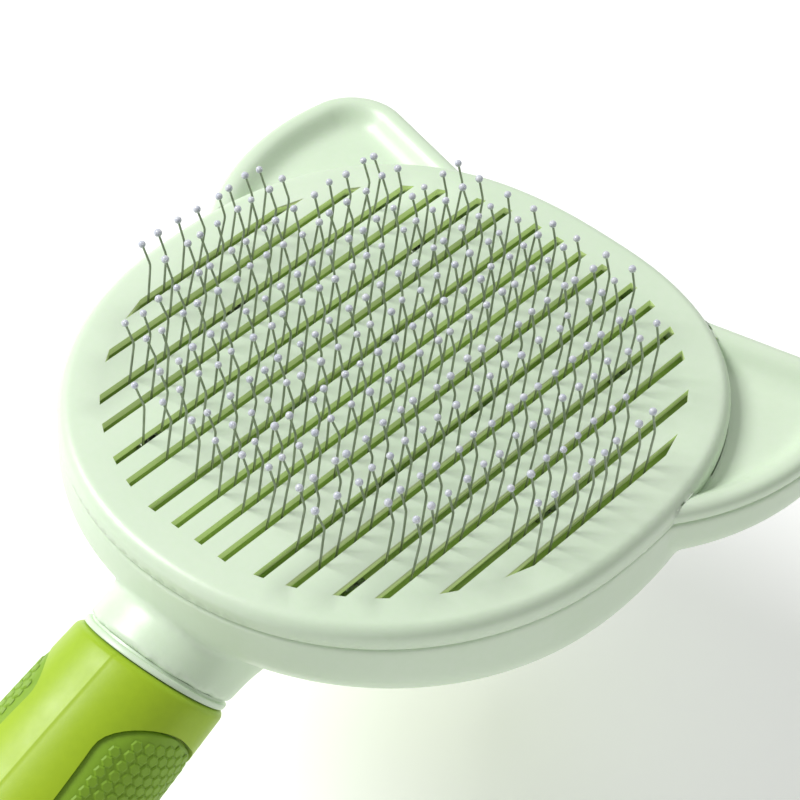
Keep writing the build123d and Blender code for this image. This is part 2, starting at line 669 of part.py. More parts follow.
# ---- handle sleeve: soft grip over the core, recessed for the two grip pads ----------------
def build_handle_sleeve():
    body = handle_loft(sleeve_sections(0.0))
    recesses = [pad_solid(PAD_T + FIT_GAP, PAD_GAP, side) for side in (1, -1)]
    with BuildPart() as sleeve:
        add(body)
        split(bisect_by=slanted_plane(0.0), keep=Keep.TOP)
        with BuildSketch(handle_plane(-END_SPARE)):
            Ellipse(CORE_W + FIT_GAP, CORE_H + FIT_GAP)
        extrude(amount=SLEEVE_L + END_SPARE, mode=Mode.SUBTRACT)
        add(recesses, mode=Mode.SUBTRACT)
    return sleeve


# ---- grip pad: textured inlay on one side of the sleeve ------------------------------------
def build_grip_pad(side):
    inlay = pad_solid(PAD_T, 0.0, side)
    with BuildPart() as pad:
        add(inlay)
    return pad


# ---- tail: rounded end of the handle with the hang hole ------------------------------------
def build_tail():
    end = SLEEVE_L + TAIL_SHAPE[-1][0]
    hole_at = handle_plane(end - TAIL_HOLE_BACK)
    across = Plane(origin=hole_at.origin, x_dir=(0, 1, 0), z_dir=hole_at.y_dir)
    body = handle_loft([(SLEEVE_L + s, w, h) for s, w, h in TAIL_SHAPE])
    plug = handle_cylinder(CORE_BORE_R - FIT_GAP, SLEEVE_L - PLUG_L, PLUG_L + 1.0)
    with BuildPart() as tail:
        add(body)
        add(plug)
        with BuildSketch(across):
            Circle(TAIL_HOLE_R)
        extrude(amount=2 * SLEEVE_W[0][1], both=True, mode=Mode.SUBTRACT)
    return tail


os.makedirs("parts", exist_ok=True)
staple, tip_dx = staple_solid()

face_shell = build_face_shell()
face_shell.part.label = "face_shell"
export_step(face_shell.part, "parts/face_shell.step")

rear_housing = build_rear_housing()
rear_housing.part.label = "rear_housing"
export_step(rear_housing.part, "parts/rear_housing.step")

needle_plate = build_needle_plate()
needle_plate.part.label = "needle_plate"
export_step(needle_plate.part, "parts/needle_plate.step")

backing_plate = build_backing_plate()
backing_plate.part.label = "backing_plate"
export_step(backing_plate.part, "parts/backing_plate.step")

for row, letter in enumerate(ROW_LETTERS):
    pin_row = build_pin_row(row, staple)
    pin_row.part.label = "pin_row_" + letter
    export_step(pin_row.part, "parts/pin_row_" + letter + ".step")

ball_tips = build_ball_tips(tip_dx)
ball_tips.part.label = "ball_tips"
export_step(ball_tips.part, "parts/ball_tips.step")

plate_screws = build_plate_screws()
plate_screws.part.label = "plate_screws"
export_step(plate_screws.part, "parts/plate_screws.step")

push_carrier = build_push_carrier()
push_carrier.part.label = "push_carrier"
export_step(push_carrier.part, "parts/push_carrier.step")

back_button = build_back_button()
back_button.part.label = "back_button"
export_step(back_button.part, "parts/back_button.step")

shell_screws = build_shell_screws()
shell_screws.part.label = "shell_screws"
export_step(shell_screws.part, "parts/shell_screws.step")

return_springs = build_return_springs()
return_springs.part.label = "return_springs"
export_step(return_springs.part, "parts/return_springs.step")

handle_core = build_handle_core()
handle_core.part.label = "handle_core"
export_step(handle_core.part, "parts/handle_core.step")

handle_sleeve = build_handle_sleeve()
handle_sleeve.part.label = "handle_sleeve"
export_step(handle_sleeve.part, "parts/handle_sleeve.step")

grip_pad_left = build_grip_pad(1)
grip_pad_left.part.label = "grip_pad_left"
export_step(grip_pad_left.part, "parts/grip_pad_left.step")

grip_pad_right = build_grip_pad(-1)
grip_pad_right.part.label = "grip_pad_right"
export_step(grip_pad_right.part, "parts/grip_pad_right.step")

tail = build_tail()
tail.part.label = "tail"
export_step(tail.part, "parts/tail.step")
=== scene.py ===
import math
import random
import bpy
import bmesh
from mathutils import Matrix, Vector


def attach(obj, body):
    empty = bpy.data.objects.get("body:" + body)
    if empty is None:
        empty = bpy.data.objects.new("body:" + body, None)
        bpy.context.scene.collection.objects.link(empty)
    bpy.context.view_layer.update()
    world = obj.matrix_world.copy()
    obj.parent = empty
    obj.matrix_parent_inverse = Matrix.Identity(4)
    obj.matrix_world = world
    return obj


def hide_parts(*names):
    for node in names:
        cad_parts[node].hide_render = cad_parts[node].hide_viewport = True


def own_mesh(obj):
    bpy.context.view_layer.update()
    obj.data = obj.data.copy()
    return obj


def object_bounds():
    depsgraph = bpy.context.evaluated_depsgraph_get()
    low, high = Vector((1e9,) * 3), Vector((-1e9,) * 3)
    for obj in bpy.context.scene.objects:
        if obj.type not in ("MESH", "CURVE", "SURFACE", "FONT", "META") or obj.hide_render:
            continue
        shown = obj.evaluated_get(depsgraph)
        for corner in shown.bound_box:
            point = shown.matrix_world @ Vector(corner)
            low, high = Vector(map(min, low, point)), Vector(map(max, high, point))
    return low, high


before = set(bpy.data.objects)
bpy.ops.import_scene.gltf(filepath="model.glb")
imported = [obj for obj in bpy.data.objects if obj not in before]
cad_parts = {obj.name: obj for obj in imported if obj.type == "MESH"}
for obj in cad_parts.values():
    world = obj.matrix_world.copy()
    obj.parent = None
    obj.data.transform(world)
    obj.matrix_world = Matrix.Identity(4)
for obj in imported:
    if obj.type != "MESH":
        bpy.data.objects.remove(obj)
cad_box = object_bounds()

# ---- camera ---------------------------------------------------------------------------------
# Looks down on the slotted face from behind and beside the handle.
camera_data = bpy.data.cameras.new("camera")
camera_data.lens = 129.5
camera_data.sensor_width = 36.0
camera_data.clip_start = 0.01
camera = bpy.data.objects.new("camera", camera_data)
bpy.context.scene.collection.objects.link(camera)
camera_right = Vector((0.6631, -0.7469, 0.0500)).normalized()
camera_back = Vector((-0.5566, -0.4473, 0.7001)).normalized()
camera_up = camera_back.cross(camera_right).normalized()
camera_right = camera_up.cross(camera_back)
camera.matrix_world = Matrix.Translation((-0.22972, -0.18672, 0.32471)) @ Matrix(
    (camera_right, camera_up, camera_back)
).transposed().to_4x4()
bpy.context.scene.camera = camera

# ---- studio ---------------------------------------------------------------------------------
# A plain white floor under the brush and soft lamps round it.
FLOOR_GAP, FLOOR_REACH = 0.0005, 6.0
floor_z = cad_box[0][2] - FLOOR_GAP
floor_mesh = bpy.data.meshes.new("studio_floor")
floor_mesh.from_pydata(
    [(x * FLOOR_REACH, y * FLOOR_REACH, floor_z) for x, y in ((-1, -1), (1, -1), (1, 1), (-1, 1))],
    [],
    [(0, 1, 2, 3)],
)
studio_floor = bpy.data.objects.new("studio_floor", floor_mesh)
bpy.context.scene.collection.objects.link(studio_floor)
floor_paint = bpy.data.materials.new("studio_paper")
floor_paint.use_nodes = True
floor_shader = floor_paint.node_tree.nodes["Principled BSDF"]
floor_shader.inputs["Base Color"].default_value = (0.86, 0.86, 0.86, 1)
floor_shader.inputs["Roughness"].default_value = 0.9
floor_shader.inputs["Emission Color"].default_value = (1, 1, 1, 1)
floor_shader.inputs["Emission Strength"].default_value = 0.30
floor_mesh.materials.append(floor_paint)

world = bpy.data.worlds.new("studio_air")
world.use_nodes = True
world.node_tree.nodes["Background"].inputs["Color"].default_value = (1, 1, 1, 1)
world.node_tree.nodes["Background"].inputs["Strength"].default_value = 0.34
bpy.context.scene.world = world
bpy.context.scene.view_settings.view_transform = "Standard"


def softbox(name, place, aim, size, power, tint=(1, 1, 1)):
    """Square lamp that faces the aim point."""
    lamp_data = bpy.data.lights.new(name, "AREA")
    lamp_data.size = size
    lamp_data.energy = power
    lamp_data.color = tint
    lamp = bpy.data.objects.new(name, lamp_data)
    lamp.matrix_world = Matrix.Translation(place) @ (
        Vector(aim) - Vector(place)
    ).to_track_quat("-Z", "Y").to_matrix().to_4x4()
    bpy.context.scene.collection.objects.link(lamp)
    return lamp


softbox("key_lamp", (-0.25, 0.55, 0.70), (0, 0, 0.03), 0.40, 7.4)
softbox("fill_lamp", (0.7, 0.1, 0.7), (0, 0, 0.02), 0.6, 0.8)


# ---- rear housing ---------------------------------------------------------------------------
# Pale green injection-moulded back: shallow dome, undersides of both ears and the flared neck
# that carries the handle. One moulding, so its corners are blended and softly rounded.
HOUSING_GRAIN = 0.0006      # size of the blending steps


def link_piece(name, mesh):
    """Puts the mesh in the scene as a piece at the origin."""
    piece = bpy.data.objects.new(name, mesh)
    bpy.context.scene.collection.objects.link(piece)
    return piece


def closed_piece(name, points, faces):
    """Piece with a closed mesh whose faces all point outwards, shaded smooth."""
    mesh = bpy.data.meshes.new(name)
    mesh.from_pydata(points, [], faces)
    work = bmesh.new()
    work.from_mesh(mesh)
    bmesh.ops.recalc_face_normals(work, faces=work.faces)
    work.to_mesh(mesh)
    work.free()
    mesh.shade_smooth()
    return link_piece(name, mesh)


def bands(rows, count):
    """Quads that join rows of count points, each row closed on itself."""
    return [
        (i * count + k, i * count + (k + 1) % count, (i + 1) * count + (k + 1) % count, (i + 1) * count + k)
        for i in range(rows - 1) for k in range(count)
    ]


def joined_copy(node, name, soft_angle):
    """Copy of a CAD node with its triangles joined up and shaded smooth below soft_angle."""
    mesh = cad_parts[node].data.copy()
    mesh.name = name
    mesh.materials.clear()
    work = bmesh.new()
    work.from_mesh(mesh)
    bmesh.ops.remove_doubles(work, verts=work.verts, dist=2e-6)
    bmesh.ops.dissolve_degenerate(work, edges=work.edges, dist=1e-6)
    for edge in work.edges:
        edge.smooth = len(edge.link_faces) == 2 and edge.calc_face_angle(0.0) < math.radians(soft_angle)
    for face in work.faces:
        face.smooth = True
    work.to_mesh(mesh)
    work.free()
    return link_piece(name, mesh)


def bake_modifiers(piece):
    """Turns the piece with its modifiers into a plain mesh."""
    graph = bpy.context.evaluated_depsgraph_get()
    mesh = bpy.data.meshes.new_from_object(piece.evaluated_get(graph))
    mesh.name = piece.name
    piece.modifiers.clear()
    piece.data = mesh
    return piece


def moulded_plastic(name, light, dark, roughness, grain=0.015, glow=0.0, through=0.0):
    """Satin moulded plastic: slow colour drift, fine spark-eroded grain, faint handling marks.

    glow scatters light below the skin, and through is a painted glow: the surface emits its light colour,
    standing in for light that crosses a thin wall.
    """
    paint = bpy.data.materials.new(name)
    paint.use_nodes = True
    nodes, links = paint.node_tree.nodes, paint.node_tree.links
    shader = nodes["Principled BSDF"]
    shader.inputs["Coat Weight"].default_value = 0.12
    shader.inputs["Coat Roughness"].default_value = 0.25
    shader.inputs["Subsurface Weight"].default_value = glow
    shader.inputs["Subsurface Radius"].default_value = (0.8, 1.0, 0.6)
    shader.inputs["Subsurface Scale"].default_value = 0.0015
    # Painted glow: the light colour is emitted at strength through.
    shader.inputs["Emission Color"].default_value = (*light, 1)
    shader.inputs["Emission Strength"].default_value = through
    place = nodes.new("ShaderNodeTexCoord")
    drift = nodes.new("ShaderNodeTexNoise")
    drift.inputs["Scale"].default_value = 34.0
    drift.inputs["Detail"].default_value = 4.0
    links.new(place.outputs["Object"], drift.inputs["Vector"])
    ramp = nodes.new("ShaderNodeValToRGB")
    ramp.color_ramp.elements[0].position = 0.3
    ramp.color_ramp.elements[0].color = (*dark, 1)
    ramp.color_ramp.elements[1].position = 0.7
    ramp.color_ramp.elements[1].color = (*light, 1)
    links.new(drift.outputs["Fac"], ramp.inputs["Fac"])
    speck = nodes.new("ShaderNodeTexNoise")
    speck.inputs["Scale"].default_value = 900.0
    speck.inputs["Detail"].default_value = 2.0
    links.new(place.outputs["Object"], speck.inputs["Vector"])
    flecks = nodes.new("ShaderNodeMix")
    flecks.data_type = "RGBA"
    flecks.blend_type = "OVERLAY"
    flecks.inputs["Factor"].default_value = 0.06
    links.new(ramp.outputs["Color"], flecks.inputs[6])
    links.new(speck.outputs["Fac"], flecks.inputs[7])
    links.new(flecks.outputs[2], shader.inputs["Base Color"])
    rub = nodes.new("ShaderNodeTexNoise")
    rub.inputs["Scale"].default_value = 120.0
    rub.inputs["Detail"].default_value = 6.0
    rub.inputs["Roughness"].default_value = 0.7
    links.new(place.outputs["Object"], rub.inputs["Vector"])
    sheen = nodes.new("ShaderNodeMapRange")
    sheen.inputs["From Min"].default_value = 0.3
    sheen.inputs["From Max"].default_value = 0.7
    sheen.inputs["To Min"].default_value = roughness - 0.05
    sheen.inputs["To Max"].default_value = roughness + 0.07
    links.new(rub.outputs["Fac"], sheen.inputs["Value"])
    links.new(sheen.outputs["Result"], shader.inputs["Roughness"])
    pores = nodes.new("ShaderNodeTexNoise")
    pores.inputs["Scale"].default_value = 3200.0
    pores.inputs["Detail"].default_value = 3.0
    links.new(place.outputs["Object"], pores.inputs["Vector"])
    bump = nodes.new("ShaderNodeBump")
    bump.inputs["Strength"].default_value = 0.35
    bump.inputs["Distance"].default_value = grain * 0.001
    links.new(pores.outputs["Fac"], bump.inputs["Height"])
    links.new(bump.outputs["Normal"], shader.inputs["Normal"])
    return paint


mint = moulded_plastic("mint_plastic", (0.735, 0.865, 0.672), (0.69, 0.835, 0.63), 0.36, glow=0.12)

housing = joined_copy("rear_housing", "housing_back", 40.0)
remesh = housing.modifiers.new("blend", "REMESH")
remesh.mode = "VOXEL"
remesh.voxel_size = HOUSING_GRAIN
soften = housing.modifiers.new("soften", "SMOOTH")
soften.factor = 0.5
soften.iterations = 5
bake_modifiers(housing)
housing.data.shade_smooth()
housing.data.materials.append(mint)
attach(housing, "frame")
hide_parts("rear_housing")

# ---- face shell -----------------------------------------------------------------------------
# Pale green moulding that lifts the hair off: a slotted plate with a rounded rim. Its slot walls
# are painted lime and given a faint glow, painted light that brightens them.
FACE_TOP, SLOT_DEPTH, SLOT_BREAK = 0.038, 0.00125, 0.00008
SLOT_FIELD_X, SLOT_FIELD_Y = 0.0426, 0.0385
HEAD_BACK, HEAD_FRONT, HEAD_SIDE = 0.0480, 0.0481, 0.0452
BACK_POWER, FRONT_POWER = 2.1, 2.45
HEAD_SKIM = 0.00004         # cut that parts the ears, out from the head's outline
CUT_TOP = 0.06              # height of the cutting blocks, above every piece


def head_outline(inset, count=192):
    """Points round the head, drawn in by inset: rounder to the handle, squarer to the ears."""
    outline = []
    for k in range(count):
        c, s = math.cos(2 * math.pi * k / count), math.sin(2 * math.pi * k / count)
        power = 2 / (BACK_POWER if c < 0 else FRONT_POWER)
        half = (HEAD_BACK if c < 0 else HEAD_FRONT) - inset
        x = math.copysign(half * abs(c) ** power, c)
        outline.append((x, math.copysign((HEAD_SIDE - inset) * abs(s) ** power, s)))
    return outline


def stacked_piece(name, layers):
    """Closed solid from outlines with the same number of points, each with its height."""
    points = [(x, y, z) for outline, z in layers for x, y in outline]
    count = len(layers[0][0])
    ends = [tuple(range(count)), tuple(range((len(layers) - 1) * count, len(layers) * count))]
    return closed_piece(name, points, bands(len(layers), count) + ends)


def head_block(inset):
    """Upright block with the head's outline, drawn in by inset, used to cut with."""
    return stacked_piece("head_block", [(head_outline(inset), 0.0), (head_outline(inset), CUT_TOP)])


def carve(piece, tool, how):
    """Keeps or removes what lies inside the tool, and leaves a plain mesh."""
    cut = piece.modifiers.new("carve", "BOOLEAN")
    cut.operation = how
    cut.solver = "EXACT"
    cut.object = tool
    bake_modifiers(piece)
    bpy.data.objects.remove(tool)


# Slot wall paint: lime with an emission glow, painted light on the walls.
slot_lime_glow = moulded_plastic("slot_lime_glow", (0.62, 0.76, 0.36), (0.56, 0.70, 0.31), 0.45, through=0.22)
shell = joined_copy("face_shell", "face_shell_cover", 32.0)
carve(shell, head_block(-HEAD_SKIM), "INTERSECT")
shell.data.set_sharp_from_angle(angle=math.radians(32))
shell.data.materials.clear()
shell.data.materials.append(mint)
shell.data.materials.append(slot_lime_glow)
# Walls of the slots in the field take the glowing lime: painted light.
for face in shell.data.polygons:
    middle, normal = face.center, face.normal
    in_wall = FACE_TOP - SLOT_DEPTH < middle.z < FACE_TOP - SLOT_BREAK and abs(normal.z) < 0.2
    on_field = abs(middle.x) < SLOT_FIELD_X and abs(middle.y) < SLOT_FIELD_Y
    face.material_index = 1 if in_wall and on_field else 0
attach(shell, "pusher")
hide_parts("face_shell")

# ---- ears -----------------------------------------------------------------------------------
# Upper halves of the two ears, moulded with the face: a rolled rim round a softly scooped dish.
EAR_ARC_X, EAR_ARC_Y, EAR_ARC_R = 32.9, 10.1, 42.3      # millimetres, as all ear sizes here
EAR_TIP_X, EAR_TIP_Y, EAR_TIP_R = 39.5, 42.8, 9.0
EAR_ROOT_ANGLE, EAR_ROOT_R = 127.0, 20.0
EAR_SIDE_ANGLE, EAR_SIDE_L = -14.0, 22.0
EAR_OVERLAP = 0.0009        # ear's root inside the head's outline, in metres
EAR_PROFILE = [     # drawn in from the outline, height, both in millimetres
    (2.4, 32.9), (2.4, 34.65), (0.3, 34.65), (0.06, 34.8), (0.0, 35.1), (0.0, 35.7), (0.12, 36.15),
    (0.42, 36.55), (0.85, 36.8), (1.35, 36.9), (1.95, 36.9), (2.45, 36.78), (2.95, 36.5), (3.5, 36.02),
    (4.05, 35.45), (4.6, 34.95), (5.2, 34.55), (5.9, 34.28), (6.7, 34.14), (7.6, 34.1),
]


def ear_outline(inset, side):
    """Points round one ear, drawn in by inset; its root lies inside the head."""
    tip, hub = Vector((EAR_TIP_X, EAR_TIP_Y)), Vector((EAR_ARC_X, EAR_ARC_Y))
    first, last = math.radians(EAR_ROOT_ANGLE), math.atan2(EAR_TIP_Y - EAR_ARC_Y, EAR_TIP_X - EAR_ARC_X)
    end = math.radians(EAR_SIDE_ANGLE)
    outline = []
    for k in range(60):
        a = first + (last - first) * k / 60
        outline.append(hub + (EAR_ARC_R - inset) * Vector((math.cos(a), math.sin(a))))
    for k in range(37):
        a = last + (end - last) * k / 36
        outline.append(tip + (EAR_TIP_R - inset) * Vector((math.cos(a), math.sin(a))))
    side_way = Vector((math.sin(end), -math.cos(end))) * EAR_SIDE_L
    outline += [outline[-1] + side_way * k / 12 for k in range(1, 13)]
    outline.append(hub + EAR_ROOT_R * Vector((math.cos(first), math.sin(first))))
    return [(p.x * 0.001, p.y * 0.001 * side) for p in outline]


for side, name in ((1, "left"), (-1, "right")):
    ear = stacked_piece("ear_" + name, [(ear_outline(inset, side), z * 0.001) for inset, z in EAR_PROFILE])
    carve(ear, head_block(EAR_OVERLAP), "DIFFERENCE")
    ear.data.shade_smooth()
    ear.data.set_sharp_from_angle(angle=math.radians(50))
    ear.data.materials.clear()
    ear.data.materials.append(mint)
    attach(ear, "pusher")

# ---- needle plate ---------------------------------------------------------------------------
# Lime plate with raised lands that the pins are pressed through, seen down the slots.
# Lime with a faint painted glow: it emits a little of its light colour.
lime = moulded_plastic("lime_plastic", (0.54, 0.72, 0.20), (0.48, 0.66, 0.17), 0.42, through=0.04)
# Darker copy of the lime for the backing plate: painted shade for the deep gaps seen down the slots.
lime_painted_shade = moulded_plastic("lime_plastic_painted_shade", (0.16, 0.26, 0.04), (0.12, 0.20, 0.03), 0.55)
for node, finish in (("needle_plate", lime), ("backing_plate", lime_painted_shade)):
    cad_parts[node].data.materials.clear()
    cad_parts[node].data.materials.append(finish)

# ---- pins -----------------------------------------------------------------------------------
# Drawn steel wire bent as staples: each leg leans forward out of its slot and its tip is bent
# back. Rows are pressed through the plate in pairs, and no two legs sit quite alike.
ROW_Y = [36.9, 32.5, 26.8, 22.4, 16.7, 12.3, 6.6, 2.2, -2.2, -6.6, -12.3, -16.7, -22.4, -26.8, -32.5, -36.9]
STAPLES = [4, 4, 8, 8, 10, 10, 10, 10, 10, 10, 10, 10, 8, 8, 4, 4]
STAPLE_PITCH, LEG_GAP = 0.0070, 0.0032
FOOT_Z, LAND_Z, BEND_Z, BEAD_Z = 0.0302, 0.0350, 0.0442, 0.0492
LEAN, TIP_LEAN = math.radians(8.0), math.radians(17.0)
LEAN_SPREAD, TIP_SPREAD, SWAY_SPREAD, SWAY_MOST = 2.1, 2.0, 1.0, 1.7     # degrees
DROP_SPREAD = 0.00018
chance = random.Random(11)
wire_points, wire_edges, bead_points = [], [], []
for row_y, staples in zip(ROW_Y, STAPLES):
    for k in range(staples):
        middle_x = (k - (staples - 1) / 2) * STAPLE_PITCH
        for side in (-0.5, 0.5):
            x, y = middle_x + side * LEG_GAP, row_y * 0.001
            lean = LEAN + math.radians(chance.gauss(0, LEAN_SPREAD))
            tip = TIP_LEAN + math.radians(chance.gauss(0, TIP_SPREAD))
            sway = math.radians(max(-SWAY_MOST, min(SWAY_MOST, chance.gauss(0, SWAY_SPREAD))))
            drop = chance.gauss(0, DROP_SPREAD)
            bend = Vector((math.tan(lean), math.tan(sway), 1.0)) * (BEND_Z - LAND_Z)
            leg = [Vector((x, y, FOOT_Z)), Vector((x, y, LAND_Z))]
            elbow = leg[1] + bend
            up = Vector((-math.tan(tip), math.tan(sway) * 0.5, 1.0))
            end = elbow + up * (BEAD_Z - BEND_Z + drop)
            for share in (0.82, 0.93):
                leg.append(leg[1].lerp(elbow, share))
            leg.append(elbow.lerp((leg[3] + elbow.lerp(end, 0.12)) / 2, 0.45))
            for share in (0.12, 0.3):
                leg.append(elbow.lerp(end, share))
            leg.append(end)
            first = len(wire_points)
            wire_points += [tuple(p) for p in leg]
            wire_edges += [(first + i, first + i + 1) for i in range(len(leg) - 1)]
            bead_points.append(tuple(end))


def new_tree(name, *sizes):
    """Empty node tree with a geometry in and out, and the named inputs in sizes."""
    tree = bpy.data.node_groups.new(name, "GeometryNodeTree")
    tree.interface.new_socket("Geometry", in_out="INPUT", socket_type="NodeSocketGeometry")
    for label, kind in sizes:
        tree.interface.new_socket(label, in_out="INPUT", socket_type=kind)
    tree.interface.new_socket("Geometry", in_out="OUTPUT", socket_type="NodeSocketGeometry")
    start, end = tree.nodes.new("NodeGroupInput"), tree.nodes.new("NodeGroupOutput")
    return tree, start, end


def grow(piece, tree, **values):
    """Runs the tree on the piece with these inputs, and leaves a plain mesh."""
    modifier = piece.modifiers.new(tree.name, "NODES")
    modifier.node_group = tree
    for item in tree.interface.items_tree:
        if item.in_out == "INPUT" and item.name in values:
            modifier[item.identifier] = values[item.name]
    return bake_modifiers(piece)


wire_tree, start, end = new_tree(
    "drawn_wire",
    ("Wire_Radius", "NodeSocketFloat"),
    ("Sides", "NodeSocketInt"),
    ("Metal", "NodeSocketMaterial"),
)
to_curve = wire_tree.nodes.new("GeometryNodeMeshToCurve")
circle = wire_tree.nodes.new("GeometryNodeCurvePrimitiveCircle")
tube = wire_tree.nodes.new("GeometryNodeCurveToMesh")
tube.inputs["Fill Caps"].default_value = True
smooth = wire_tree.nodes.new("GeometryNodeSetShadeSmooth")
real = wire_tree.nodes.new("GeometryNodeRealizeInstances")
paint = wire_tree.nodes.new("GeometryNodeSetMaterial")
wire_tree.links.new(start.outputs["Geometry"], to_curve.inputs["Mesh"])
wire_tree.links.new(start.outputs["Wire_Radius"], circle.inputs["Radius"])
wire_tree.links.new(start.outputs["Sides"], circle.inputs["Resolution"])
wire_tree.links.new(to_curve.outputs["Curve"], tube.inputs["Curve"])
wire_tree.links.new(circle.outputs["Curve"], tube.inputs["Profile Curve"])
wire_tree.links.new(tube.outputs["Mesh"], smooth.inputs["Geometry"])
wire_tree.links.new(smooth.outputs["Geometry"], real.inputs["Geometry"])
wire_tree.links.new(real.outputs["Geometry"], paint.inputs["Geometry"])
wire_tree.links.new(start.outputs["Metal"], paint.inputs["Material"])
wire_tree.links.new(paint.outputs["Geometry"], end.inputs["Geometry"])

drawn_steel = bpy.data.materials.new("drawn_steel")
drawn_steel.use_nodes = True
steel_nodes, steel_links = drawn_steel.node_tree.nodes, drawn_steel.node_tree.links
steel = steel_nodes["Principled BSDF"]
steel.inputs["Metallic"].default_value = 0.9
steel_place = steel_nodes.new("ShaderNodeTexCoord")
steel_stretch = steel_nodes.new("ShaderNodeMapping")
steel_stretch.inputs["Scale"].default_value = (1.0, 1.0, 0.12)
steel_lines = steel_nodes.new("ShaderNodeTexNoise")
steel_lines.inputs["Scale"].default_value = 2600.0
steel_lines.inputs["Detail"].default_value = 3.0
steel_ramp = steel_nodes.new("ShaderNodeValToRGB")
steel_ramp.color_ramp.elements[0].position = 0.3
steel_ramp.color_ramp.elements[0].color = (0.22, 0.25, 0.19, 1)
steel_ramp.color_ramp.elements[1].position = 0.72
steel_ramp.color_ramp.elements[1].color = (0.40, 0.44, 0.36, 1)
steel_dull = steel_nodes.new("ShaderNodeMapRange")
steel_dull.inputs["To Min"].default_value = 0.28
steel_dull.inputs["To Max"].default_value = 0.46
steel_bump = steel_nodes.new("ShaderNodeBump")
steel_bump.inputs["Strength"].default_value = 0.25
steel_bump.inputs["Distance"].default_value = 0.00001
steel_links.new(steel_place.outputs["Object"], steel_stretch.inputs["Vector"])
steel_links.new(steel_stretch.outputs["Vector"], steel_lines.inputs["Vector"])
steel_links.new(steel_lines.outputs["Fac"], steel_ramp.inputs["Fac"])
steel_links.new(steel_ramp.outputs["Color"], steel.inputs["Base Color"])
steel_links.new(steel_lines.outputs["Fac"], steel_dull.inputs["Value"])
steel_links.new(steel_dull.outputs["Result"], steel.inputs["Roughness"])
steel_links.new(steel_lines.outputs["Fac"], steel_bump.inputs["Height"])
steel_links.new(steel_bump.outputs["Normal"], steel.inputs["Normal"])

wire_mesh = bpy.data.meshes.new("pin_wires")
wire_mesh.from_pydata(wire_points, wire_edges, [])
pins = grow(link_piece("pin_wires", wire_mesh), wire_tree, Wire_Radius=0.00018, Sides=8, Metal=drawn_steel)
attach(pins, "frame")
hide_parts(*["pin_row_" + letter for letter in "abcdefghijklmnop"])

# ---- beads ----------------------------------------------------------------------------------
# A small drop of clear-white resin on every wire end, so that it doesn't scratch.
bead_tree, start, end = new_tree(
    "resin_beads",
    ("Bead_Radius", "NodeSocketFloat"),
    ("Smallest", "NodeSocketFloat"),
    ("Largest", "NodeSocketFloat"),
    ("Seed", "NodeSocketInt"),
    ("Resin", "NodeSocketMaterial"),
)
to_points = bead_tree.nodes.new("GeometryNodeMeshToPoints")
drop = bead_tree.nodes.new("GeometryNodeMeshIcoSphere")
drop.inputs["Subdivisions"].default_value = 3
spread = bead_tree.nodes.new("FunctionNodeRandomValue")
spread.data_type = "FLOAT"
on_points = bead_tree.nodes.new("GeometryNodeInstanceOnPoints")
real = bead_tree.nodes.new("GeometryNodeRealizeInstances")
smooth = bead_tree.nodes.new("GeometryNodeSetShadeSmooth")
paint = bead_tree.nodes.new("GeometryNodeSetMaterial")
bead_tree.links.new(start.outputs["Geometry"], to_points.inputs["Mesh"])
bead_tree.links.new(start.outputs["Bead_Radius"], drop.inputs["Radius"])
bead_tree.links.new(start.outputs["Smallest"], spread.inputs[2])
bead_tree.links.new(start.outputs["Largest"], spread.inputs[3])
bead_tree.links.new(start.outputs["Seed"], spread.inputs["Seed"])
bead_tree.links.new(to_points.outputs["Points"], on_points.inputs["Points"])
bead_tree.links.new(drop.outputs["Mesh"], on_points.inputs["Instance"])
bead_tree.links.new(spread.outputs[1], on_points.inputs["Scale"])
bead_tree.links.new(on_points.outputs["Instances"], smooth.inputs["Geometry"])
bead_tree.links.new(smooth.outputs["Geometry"], real.inputs["Geometry"])
bead_tree.links.new(real.outputs["Geometry"], paint.inputs["Geometry"])
bead_tree.links.new(start.outputs["Resin"], paint.inputs["Material"])
bead_tree.links.new(paint.outputs["Geometry"], end.inputs["Geometry"])

resin = bpy.data.materials.new("bead_resin")
resin.use_nodes = True
resin_nodes, resin_links = resin.node_tree.nodes, resin.node_tree.links
resin_shader = resin_nodes["Principled BSDF"]
resin_shader.inputs["Transmission Weight"].default_value = 0.22
resin_shader.inputs["IOR"].default_value = 1.5
resin_place = resin_nodes.new("ShaderNodeTexCoord")
resin_cloud = resin_nodes.new("ShaderNodeTexNoise")
resin_cloud.inputs["Scale"].default_value = 1400.0
resin_ramp = resin_nodes.new("ShaderNodeValToRGB")
resin_ramp.color_ramp.elements[0].position = 0.35
resin_ramp.color_ramp.elements[0].color = (0.72, 0.76, 0.88, 1)
resin_ramp.color_ramp.elements[1].position = 0.65
resin_ramp.color_ramp.elements[1].color = (0.90, 0.92, 0.98, 1)
resin_gloss = resin_nodes.new("ShaderNodeMapRange")
resin_gloss.inputs["To Min"].default_value = 0.10
resin_gloss.inputs["To Max"].default_value = 0.22
resin_bump = resin_nodes.new("ShaderNodeBump")
resin_bump.inputs["Strength"].default_value = 0.2
resin_bump.inputs["Distance"].default_value = 0.00002
resin_links.new(resin_place.outputs["Object"], resin_cloud.inputs["Vector"])
resin_links.new(resin_cloud.outputs["Fac"], resin_ramp.inputs["Fac"])
resin_links.new(resin_ramp.outputs["Color"], resin_shader.inputs["Base Color"])
resin_links.new(resin_cloud.outputs["Fac"], resin_gloss.inputs["Value"])
resin_links.new(resin_gloss.outputs["Result"], resin_shader.inputs["Roughness"])
resin_links.new(resin_cloud.outputs["Fac"], resin_bump.inputs["Height"])
resin_links.new(resin_bump.outputs["Normal"], resin_shader.inputs["Normal"])

bead_mesh = bpy.data.meshes.new("resin_beads")
bead_mesh.from_pydata(bead_points, [], [])
beads = grow(
    link_piece("resin_beads", bead_mesh), bead_tree,
    Bead_Radius=0.00055, Smallest=0.90, Largest=1.10, Seed=5, Resin=resin,
)
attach(beads, "frame")
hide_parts("ball_tips")
